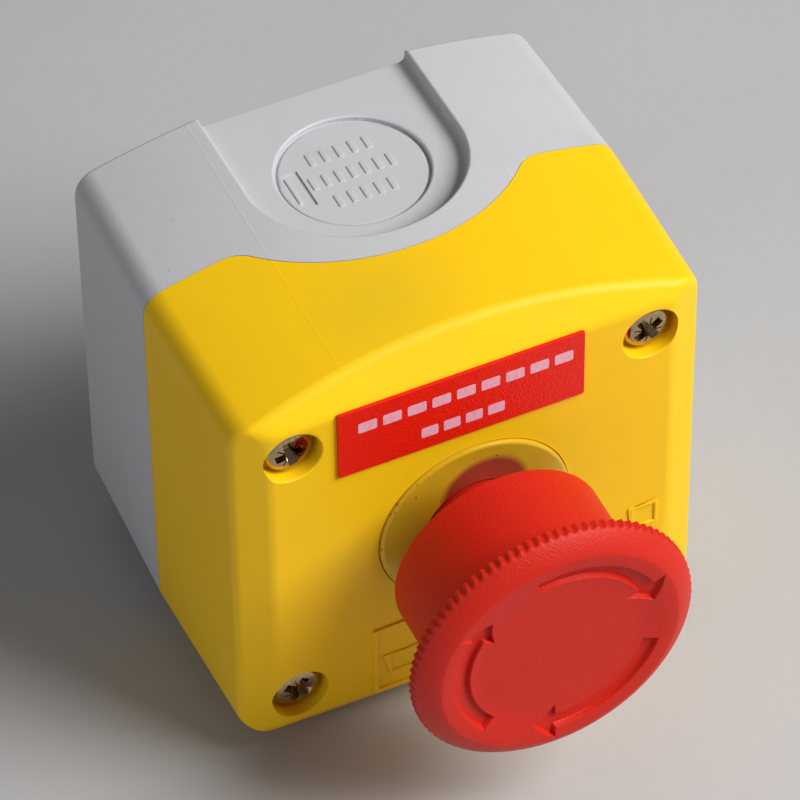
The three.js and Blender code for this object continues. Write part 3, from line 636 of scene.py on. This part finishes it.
# --------------------------------------------------------------- mushroom button


def smoothstep(low, high, value):
    """Soft rise from 0 at low to 1 at high."""
    t = min(max((value - low) / (high - low), 0.0), 1.0)
    return t * t * (3 - 2 * t)


def arrow_depth(radius, angle):
    """Depth of the three sunk arrows, which point clockwise round the axis."""
    turn = (math.degrees(angle) - ARROW_TIP) % 120.0
    along = math.radians(turn) * ARROW_RADIUS
    across = abs(radius - ARROW_RADIUS)
    head = math.radians(ARROW_HEAD) * ARROW_RADIUS
    tail = math.radians(ARROW_SPAN) * ARROW_RADIUS
    in_head = min(along * ARROW_BARB / head - across, head - along)
    in_shaft = min(ARROW_WIDTH / 2 - across, along - head * 0.8, tail - along)
    return ARROW_DEPTH * smoothstep(-ARROW_EDGE, ARROW_EDGE, max(in_head, in_shaft))


def dished(radius):
    """Front of the cap inside its crest: a soft slope down to the flat middle."""
    return CREST - (CREST - FACE) * smoothstep(0.0, DISH_WIDTH, CREST_RADIUS - radius)


def make_cap():
    """Hollow sleeve, knurled rim, rounded lip and a dished front with sunk arrows, in one surface."""
    columns = KNURL_TEETH * COLUMNS_PER_TOOTH
    turns = [2 * math.pi * i / columns for i in range(columns)]
    front = KNURL_REAR + KNURL_LENGTH
    bore_radius = SLEEVE_RADIUS - SLEEVE_WALL

    def ring(radius, z):
        return [(radius * math.cos(a), radius * math.sin(a), z) for a in turns]

    def knurl_ring(z, depth, crown=KNURL_CROWN):
        points = []
        for i, a in enumerate(turns):
            phase = 2 * math.pi * (i % COLUMNS_PER_TOOTH) / COLUMNS_PER_TOOTH
            radius = crown - KNURL_DEPTH * depth * (0.5 - 0.5 * math.cos(phase))
            points.append((radius * math.cos(a), radius * math.sin(a), z))
        return points

    def face_ring(radius):
        points = []
        for a in turns:
            z = dished(radius) - arrow_depth(radius, a)
            points.append((radius * math.cos(a), radius * math.sin(a), z))
        return points

    rings = [
        ring(bore_radius, KNURL_REAR - 1.7),
        ring(bore_radius, SLEEVE_REAR + 0.3),
        ring(bore_radius + 0.15, SLEEVE_REAR + 0.06),
        ring(bore_radius + 0.4, SLEEVE_REAR),
        ring(SLEEVE_RADIUS - SLEEVE_EDGE, SLEEVE_REAR),
    ]
    for i in range(1, 5):
        turn = math.pi / 2 * i / 4
        radius = SLEEVE_RADIUS - SLEEVE_EDGE * (1 - math.sin(turn))
        rings.append(ring(radius, SLEEVE_REAR + SLEEVE_EDGE * (1 - math.cos(turn))))
    rings += [
        ring(SLEEVE_RADIUS, SLEEVE_REAR + 7.0),
        ring(SLEEVE_RADIUS, KNURL_REAR - 0.5),
        ring(SLEEVE_RADIUS + 0.15, KNURL_REAR - 0.12),
        ring(SLEEVE_RADIUS + 0.5, KNURL_REAR),
        ring(RIM_RADIUS - 1.3, KNURL_REAR),
        knurl_ring(KNURL_REAR + 0.06, 1.1),
        knurl_ring(KNURL_REAR + 0.3, 1.0),
        knurl_ring(front - 0.4, 1.0),
    ]
    reach = KNURL_CROWN - CREST_RADIUS
    for i in range(LIP_STEPS + 1):
        turn = math.pi / 2 * i / LIP_STEPS
        radius = CREST_RADIUS + reach * math.cos(turn) ** LIP_FLATNESS
        z = front + (CREST - front) * math.sin(turn) ** LIP_FLATNESS
        rings.append(knurl_ring(z, 1.0 - smoothstep(0.0, 5.0, i), radius))
    rings += [face_ring(CREST_RADIUS - 0.1 - DISH_RING_STEP * i) for i in range(DISH_RINGS)]
    rings.append(ring(FLAT_RADIUS, FACE))
    return loft("mushroom_head", rings)


def make_stem():
    """Red tube from inside the actuator body to the head."""
    top = KNURL_REAR - 1.8
    profile = [(STEM_BORE, STEM_LOW.z), (STEM_RADIUS, STEM_LOW.z), (STEM_RADIUS, BOX_DEPTH + 1.5),
               (STEM_RADIUS, top), (STEM_BORE, top)]
    return turned("stem_sleeve", profile, 128, closed=True)


def make_bezel():
    """Thin ring with rounded edges and a skirt that goes down into the cover."""
    top = BEZEL_HIGH.z
    radius = BEZEL_HIGH.x
    inner = STEM_RADIUS + 0.25
    under = top - 0.55
    skirt = 10.7
    profile = [(inner, under), (inner, top - 0.12), (inner + 0.12, top), (radius - 0.5, top),
               (radius - 0.24, top - 0.06), (radius - 0.07, top - 0.22), (radius, top - 0.5),
               (radius, BEZEL_LOW.z), (skirt, BEZEL_LOW.z), (skirt, under)]
    return turned("bezel_disc", profile, 160, closed=True)


def blade(reach_top, reach_low, half_top, half_low, z_low, z_top, angle, x, y):
    """Tapered bar across a screw's axis, wide at the top and narrow at the bottom."""
    ca, sa = math.cos(angle), math.sin(angle)
    rings = []
    for reach, half, z in ((reach_low, half_low, z_low), (reach_top, half_top, z_top)):
        outline = [(-reach, -half), (reach, -half), (reach, half), (-reach, half)]
        rings.append([(x + u * ca - v * sa, y + u * sa + v * ca, z) for u, v in outline])
    return loft("blade", rings)


def is_sharp(edge):
    """True on the screw's longer sharp edges."""
    return edge.calc_face_angle(0.0) > 0.7 and edge.calc_length() > 0.3 * MM


def make_screw(name, x, y, angle):
    """Pan head screw with a cross recess and the four fine lines between its arms."""
    seat = SCREW_SEAT + 0.03
    head = SCREW_HEAD - 0.02
    shank = 1.9
    above = seat + 2.6
    profile = [
        (shank, seat - 8.0), (shank, seat), (head - 0.12, seat), (head, seat + 0.12), (head, seat + 1.35),
        (head - 0.04, seat + 1.55), (head - 0.16, seat + 1.72), (head - 0.4, seat + 1.88),
        (head - 0.8, seat + 2.02), (head - 1.4, seat + 2.14), (1.1, seat + 2.22), (0.5, seat + 2.26),
    ]
    screw = turned(name, profile, 64, x, y)
    for arm in (angle, angle + math.pi / 2):
        line = arm + math.pi / 4
        combine(screw, blade(2.45, 0.9, 0.7, 0.36, seat + 0.3, above, arm, x, y))
        combine(screw, blade(2.7, 1.6, 0.16, 0.03, seat + 1.75, above, line, x, y))
    combine(screw, turned("cone", [(0.25, seat + 0.1), (1.25, above)], 24, x, y))
    soften_edges(screw, is_sharp, 0.05, 1)
    return screw


def rounded_rectangle(x0, x1, y0, y1, radius, steps):
    points = []
    for cx, cy, start in ((x1 - radius, y1 - radius, 0.0), (x0 + radius, y1 - radius, math.pi / 2),
                          (x0 + radius, y0 + radius, math.pi), (x1 - radius, y0 + radius, 1.5 * math.pi)):
        points += arc(cx, cy, radius, start, start + math.pi / 2, steps)
    return points


def plate_solid(name, low, high, levels, radius, steps, materials):
    """Flat plate through [inset, z] levels, between two corners of its outline."""
    rings = []
    for inset, z in levels:
        outline = rounded_rectangle(
            low[0] + inset, high[0] - inset, low[1] + inset, high[1] - inset, radius, steps)
        rings.append([(x, y, z) for x, y in outline])
    plate = loft(name, rings)
    for material in materials:
        plate.data.materials.append(material)
    return plate


def make_legend(materials):
    """Plate with eased edges and two rows of plain dashes, in its two materials: plate and print."""
    front = LEGEND_HIGH.z - 0.03
    levels = ((0.0, LEGEND_LOW.z + 0.002), (0.0, front - 0.12), (0.04, front - 0.035), (0.12, front))
    plate = plate_solid("legend_plate_face", LEGEND_LOW, LEGEND_HIGH, levels, 0.35, 5, materials)
    levels = ((0.0, front - 0.05), (0.0, front + 0.012), (0.03, front + 0.024))
    dashes = []
    for start, end, count, y0, y1 in DASH_ROWS:
        pitch = (end - start) / count
        for i in range(count):
            x0 = start + pitch * i + DASH_MARGIN * pitch
            x1 = start + pitch * (i + 1) - DASH_MARGIN * pitch
            dash = plate_solid("dash", (x0, y0), (x1, y1), levels, 0.25, 3, materials)
            dash.data.polygons.foreach_set("material_index", [1] * len(dash.data.polygons))
            dashes.append(dash)
    for dash in dashes:
        combine(plate, dash, "UNION")
    return plate


# ------------------------------------------------------------------------- looks


def linear(red, green, blue):
    """Linear colour from 0-255 display values."""
    channels = []
    for value in (red, green, blue):
        c = value / 255
        channels.append(c / 12.92 if c <= 0.04045 else ((c + 0.055) / 1.055) ** 2.4)
    return (*channels, 1.0)


class Surface:
    """A Principled material whose colour, roughness and relief are built from noise in object space."""

    def __init__(self, name, colour, roughness, metallic=0.0, specular=0.5, coat=0.0):
        self.material = bpy.data.materials.new(name + "_look")
        self.material.use_nodes = True
        self.tree = self.material.node_tree
        self.shader = self.tree.nodes["Principled BSDF"]
        self.shader.inputs["Metallic"].default_value = metallic
        self.shader.inputs["Specular IOR Level"].default_value = specular
        self.shader.inputs["Coat Weight"].default_value = coat
        self.coordinates = self.node("ShaderNodeTexCoord").outputs["Object"]
        rgb = self.node("ShaderNodeRGB")
        rgb.outputs[0].default_value = colour
        self.colour = rgb.outputs[0]
        value = self.node("ShaderNodeValue")
        value.outputs[0].default_value = roughness
        self.roughness = value.outputs[0]
        self.normal = None

    def node(self, kind):
        return self.tree.nodes.new(kind)

    def link(self, source, target):
        self.tree.links.new(source, target)

    def noise(self, size, detail=2.0, stretch=(1.0, 1.0, 1.0), low=0.3, high=0.7):
        """Noise between 0 and 1 with features of the given size in millimetres."""
        mapping = self.node("ShaderNodeMapping")
        mapping.inputs["Scale"].default_value = [1.0 / (size * MM * s) for s in stretch]
        self.link(self.coordinates, mapping.inputs["Vector"])
        noise = self.node("ShaderNodeTexNoise")
        noise.inputs["Scale"].default_value = 1.0
        noise.inputs["Detail"].default_value = detail
        self.link(mapping.outputs["Vector"], noise.inputs["Vector"])
        return self.remap(noise.outputs["Fac"], low, high, 0.0, 1.0)

    def spot(self, centre, inner, outer):
        """One inside the inner radius about a point of the facing frame, falling to 0 at the outer."""
        distance = self.node("ShaderNodeVectorMath")
        distance.operation = "DISTANCE"
        self.link(self.coordinates, distance.inputs[0])
        distance.inputs[1].default_value = to_part(centre)
        return self.remap(distance.outputs["Value"], inner * MM, outer * MM, 1.0, 0.0)

    def remap(self, source, from_low, from_high, to_low, to_high):
        node = self.node("ShaderNodeMapRange")
        node.inputs["From Min"].default_value = from_low
        node.inputs["From Max"].default_value = from_high
        node.inputs["To Min"].default_value = to_low
        node.inputs["To Max"].default_value = to_high
        self.link(source, node.inputs["Value"])
        return node.outputs["Result"]

    def tint(self, mask, colour, strength):
        """Mixes a colour in where the mask is high."""
        mix = self.node("ShaderNodeMix")
        mix.data_type = "RGBA"
        self.link(self.remap(mask, 0.0, 1.0, 0.0, strength), mix.inputs["Factor"])
        self.link(self.colour, mix.inputs["A"])
        mix.inputs["B"].default_value = colour
        self.colour = mix.outputs["Result"]
        return self

    def roughen(self, mask, amount):
        """Adds to the roughness where the mask is high."""
        add = self.node("ShaderNodeMath")
        add.operation = "MULTIPLY_ADD"
        self.link(mask, add.inputs[0])
        add.inputs[1].default_value = amount
        self.link(self.roughness, add.inputs[2])
        self.roughness = add.outputs["Value"]
        return self

    def emboss(self, mask, depth):
        """Adds relief of a depth in millimetres from the mask."""
        bump = self.node("ShaderNodeBump")
        bump.inputs["Distance"].default_value = depth * MM
        bump.inputs["Strength"].default_value = 1.0
        self.link(mask, bump.inputs["Height"])
        if self.normal is not None:
            self.link(self.normal, bump.inputs["Normal"])
        self.normal = bump.outputs["Normal"]
        return self

    def finish(self):
        self.link(self.colour, self.shader.inputs["Base Color"])
        self.link(self.roughness, self.shader.inputs["Roughness"])
        self.link(self.normal, self.shader.inputs["Normal"])
        return self.material


def moulded(name, colour, deep, bright, dirt, roughness, grain, depth, specular=0.5, stained=None):
    """Moulded plastic: fine grain, slow colour drift, scattered scuffs and a little dirt."""
    surface = Surface(name, colour, roughness, specular=specular)
    if stained is not None:
        stain = surface.spot(stained, 2.0, 13.0)
        surface.tint(stain, dirt, 0.3).roughen(stain, 0.08)
    drift = surface.noise(26.0, 3.0)
    surface.tint(drift, deep, 0.5).roughen(drift, 0.06)
    scuffs = surface.noise(0.9, 4.0, (9.0, 1.0, 1.4), 0.69, 0.78)
    surface.tint(scuffs, bright, 0.14).roughen(scuffs, 0.1)
    specks = surface.noise(1.3, 3.0, low=0.72, high=0.77)
    surface.tint(specks, dirt, 0.25)
    smudge = surface.noise(9.0, 5.0, (1.0, 1.0, 1.7), 0.58, 0.8)
    surface.tint(smudge, dirt, 0.1).roughen(smudge, 0.07)
    surface.emboss(surface.noise(grain, 3.0), depth)
    surface.emboss(drift, 0.03)
    return surface.finish()


def metal(name, colour, deep, stain, roughness, stretch):
    """Plated or rolled metal with drawn grain, duller patches and a thin stain."""
    surface = Surface(name, colour, roughness, metallic=1.0)
    streaks = surface.noise(0.6, 4.0, stretch)
    surface.tint(streaks, deep, 0.35).roughen(streaks, 0.08)
    patches = surface.noise(2.2, 4.0, low=0.5, high=0.75)
    surface.tint(patches, stain, 0.25).roughen(patches, 0.1)
    surface.emboss(streaks, 0.006)
    return surface.finish()


def glossy_ring(name):
    """Olive varnished ring: a painted reflection of the red stem beside the sleeve, and a few dark specks."""
    surface = Surface(name, linear(226, 186, 36), 0.28, metallic=0.2, coat=0.2)
    drift = surface.noise(9.0, 3.0)
    surface.tint(drift, linear(196, 154, 20), 0.6).roughen(drift, 0.08)
    # Painted reflection: a reddish spot for the stem, tinted into the ring's colour near the sleeve.
    surface.tint(surface.spot(RING_PAINTED_REFLECTION, 5.6, 6.7), linear(158, 44, 46), 0.92)
    specks = surface.noise(0.9, 2.0, low=0.7, high=0.73)
    surface.tint(specks, linear(38, 26, 12), 0.85).roughen(specks, 0.3)
    surface.emboss(surface.noise(0.8, 3.0), 0.004)
    return surface.finish()


def printed(name):
    """Thin pale print with slightly worn patches."""
    surface = Surface(name, linear(238, 178, 196), 0.42)
    worn = surface.noise(0.6, 4.0, low=0.5, high=0.72)
    surface.tint(worn, linear(222, 60, 60), 0.35).roughen(worn, 0.1)
    surface.emboss(surface.noise(0.25, 3.0), 0.01)
    return surface.finish()


MATERIALS = {
    "yellow_housing": moulded(
        "yellow_housing", linear(253, 204, 22), linear(248, 196, 14), linear(255, 218, 60),
        linear(186, 166, 44), roughness=0.4, grain=0.5, depth=0.006, specular=0.2, stained=COVER_SMUDGE),
    "grey_housing": moulded(
        "grey_housing", linear(200, 201, 206), linear(192, 193, 198), linear(222, 224, 230),
        linear(110, 108, 104), roughness=0.45, grain=0.45, depth=0.008, specular=0.3),
    "red_button": moulded(
        "red_button", linear(206, 34, 15), linear(198, 29, 11), linear(230, 80, 60),
        linear(120, 24, 14), roughness=0.44, grain=0.28, depth=0.035, specular=0.28),
    "red_stem": moulded(
        "red_stem", linear(196, 30, 16), linear(176, 22, 10), linear(230, 90, 70),
        linear(110, 20, 12), roughness=0.42, grain=0.4, depth=0.008, specular=0.25),
    "red_legend": moulded(
        "red_legend", linear(234, 30, 7), linear(224, 24, 4), linear(244, 100, 100),
        linear(130, 16, 8), roughness=0.4, grain=0.34, depth=0.045, specular=0.3),
    "olive_ring": glossy_ring("olive_ring"),
    "zinc_screw": metal(
        "zinc_screw", linear(190, 168, 130), linear(104, 84, 58), linear(110, 86, 44),
        roughness=0.08, stretch=(1.0, 1.0, 1.0)),
    "black_rubber": moulded(
        "black_rubber", linear(34, 34, 36), linear(26, 26, 28), linear(66, 66, 68),
        linear(80, 76, 70), roughness=0.68, grain=0.3, depth=0.03, specular=0.3),
    "black_plastic": moulded(
        "black_plastic", linear(40, 41, 44), linear(30, 31, 34), linear(78, 79, 82),
        linear(86, 82, 76), roughness=0.44, grain=0.4, depth=0.012),
    "white_plastic": moulded(
        "white_plastic", linear(226, 224, 216), linear(214, 210, 198), linear(244, 243, 238),
        linear(140, 130, 112), roughness=0.42, grain=0.4, depth=0.012),
    "green_plastic": moulded(
        "green_plastic", linear(46, 128, 74), linear(34, 106, 58), linear(98, 166, 120),
        linear(60, 70, 50), roughness=0.42, grain=0.4, depth=0.012),
    "spring_steel": metal(
        "spring_steel", linear(196, 198, 202), linear(128, 130, 134), linear(110, 96, 78),
        roughness=0.28, stretch=(1.0, 6.0, 1.0)),
    "contact_brass": metal(
        "contact_brass", linear(222, 184, 108), linear(172, 130, 62), linear(120, 86, 44),
        roughness=0.26, stretch=(6.0, 1.0, 1.0)),
}


def finish_piece(piece, body, node, slot):
    """Shades a piece, gives it its slot's material unless it has its own, and ties it to its CAD node."""
    shade(piece)
    if not any(piece.data.materials):
        piece.data.materials.clear()
        piece.data.materials.append(MATERIALS[slot])
    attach(piece, body)
    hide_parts(node)


finish_piece(make_cover(), "enclosure", "front_cover", "yellow_housing")
finish_piece(make_enclosure(), "enclosure", "rear_enclosure", "grey_housing")
finish_piece(make_cap(), "head", "mushroom_cap", "red_button")
finish_piece(make_stem(), "head", "plunger_stem", "red_stem")
finish_piece(make_bezel(), "enclosure", "bezel_ring", "olive_ring")
for name, angle in SCREW_TURNS.items():
    low, high = facing_box(name)
    x, y = (low.x + high.x) / 2, (low.y + high.y) / 2
    screw = make_screw(name + "_visible", x, y, math.radians(angle))
    finish_piece(screw, "enclosure", name, "zinc_screw")
legend = make_legend((MATERIALS["red_legend"], printed("legend_print")))
finish_piece(legend, "enclosure", "legend_plate", "red_legend")

for node in frame["nodes"].values():
    for i, material in enumerate(node.data.materials):
        node.data.materials[i] = MATERIALS[material.name]


def add_spring(name):
    """Coil copied from a spring's CAD node and carried by the same body."""
    node = frame["nodes"][name]
    spring = bpy.data.objects.new(name + "_coil", node.data.copy())
    bpy.context.collection.objects.link(spring)
    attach(spring, node["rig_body"])
    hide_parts(name)
    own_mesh(spring)


for name in ("return_spring", "nc_spring", "no_spring"):
    add_spring(name)

# ------------------------------------------------------------- camera and studio

# The camera is the one that fits the photographed view of the box.
CAMERA_TARGET = Vector((-8.93, -50.0, 23.29)) * MM
CAMERA_AZIMUTH = math.radians(-24.429)
CAMERA_ELEVATION = math.radians(47.003)
CAMERA_DISTANCE = 737.755 * MM
CAMERA_ROLL = math.radians(-0.777)
CAMERA_LENS = 259.04
FLOOR_REACH = 3.0
FLOOR_GAP = 0.0001


def make_camera():
    data = bpy.data.cameras.new("camera")
    data.lens = CAMERA_LENS
    data.sensor_width = 36.0
    camera = bpy.data.objects.new("camera", data)
    back = Vector((
        math.sin(CAMERA_AZIMUTH) * math.cos(CAMERA_ELEVATION),
        -math.cos(CAMERA_AZIMUTH) * math.cos(CAMERA_ELEVATION),
        math.sin(CAMERA_ELEVATION),
    ))
    camera.location = CAMERA_TARGET + back * CAMERA_DISTANCE
    camera.rotation_mode = "QUATERNION"
    roll = Quaternion((0.0, 0.0, 1.0), CAMERA_ROLL)
    camera.rotation_quaternion = (-back).to_track_quat("-Z", "Y") @ roll
    bpy.context.collection.objects.link(camera)
    bpy.context.scene.camera = camera


def area_light(name, place, size, power, colour=(1.0, 1.0, 1.0)):
    data = bpy.data.lights.new(name, "AREA")
    data.size = size
    data.energy = power
    data.color = colour
    light = bpy.data.objects.new(name, data)
    light.location = place
    light.rotation_mode = "QUATERNION"
    light.rotation_quaternion = (-Vector(place)).to_track_quat("-Z", "Y")
    bpy.context.collection.objects.link(light)


def make_studio():
    """Pale floor just below the part, one key light, one fill light and a dim world."""
    low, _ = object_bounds()
    level = low.z - FLOOR_GAP
    reach = FLOOR_REACH
    points = [
        (-reach, -reach, level), (reach, -reach, level), (reach, reach, level), (-reach, reach, level)]
    mesh = bpy.data.meshes.new("floor")
    mesh.from_pydata(points, [], [(0, 1, 2, 3)])
    floor = bpy.data.objects.new("floor", mesh)
    bpy.context.collection.objects.link(floor)
    surface = Surface("floor", linear(190, 190, 192), 0.7)
    surface.tint(surface.noise(60.0, 3.0), linear(182, 182, 185), 0.6)
    surface.roughen(surface.noise(8.0), 0.1).emboss(surface.noise(2.0), 0.02)
    mesh.materials.append(surface.finish())
    area_light("key", (0.5, -0.44, 0.64), size=0.5, power=10.6, colour=(1.0, 0.99, 0.97))
    area_light("fill", (-0.9, -0.42, 0.25), size=0.9, power=1.6)
    world = bpy.data.worlds.new("studio")
    world.use_nodes = True
    world.node_tree.nodes["Background"].inputs["Color"].default_value = (1.0, 0.97, 0.94, 1.0)
    world.node_tree.nodes["Background"].inputs["Strength"].default_value = 0.14
    bpy.context.scene.world = world
    bpy.context.scene.view_settings.view_transform = "Standard"


make_camera()
make_studio()
